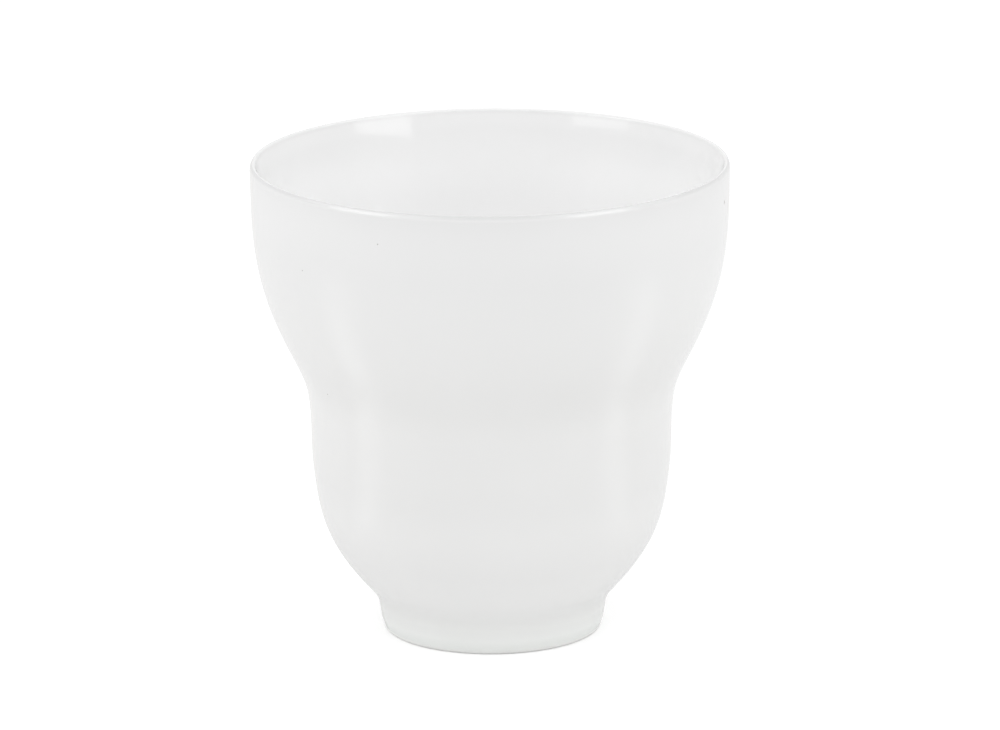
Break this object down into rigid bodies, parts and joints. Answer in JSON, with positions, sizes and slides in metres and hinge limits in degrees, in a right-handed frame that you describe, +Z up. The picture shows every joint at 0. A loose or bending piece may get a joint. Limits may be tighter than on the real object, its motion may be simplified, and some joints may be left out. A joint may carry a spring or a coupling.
{
  "type": "teacup",
  "caption": "Handle-less porcelain teacup with a wide rounded upper bowl, a waist, a narrower lower bowl and a low foot ring, glazed glossy white, for serving hot tea.",
  "frame": {"origin": "centre of the foot ring's bearing face, which stands on the table", "axes": "+Z up along the axis of the cup; the cup is the same all round it"},
  "size_m": [0.084, 0.084, 0.0844],
  "materials": {
    "porcelain": "fired unglazed white porcelain, fine and dry to the touch",
    "glaze": "glossy white glaze with soft highlights"
  },
  "bodies": {
    "root": {"cup_body": "porcelain", "foot_ring": "porcelain", "outer_glaze": "glaze", "inner_glaze": "glaze", "base_glaze": "glaze"}
  },
  "joints": []
}
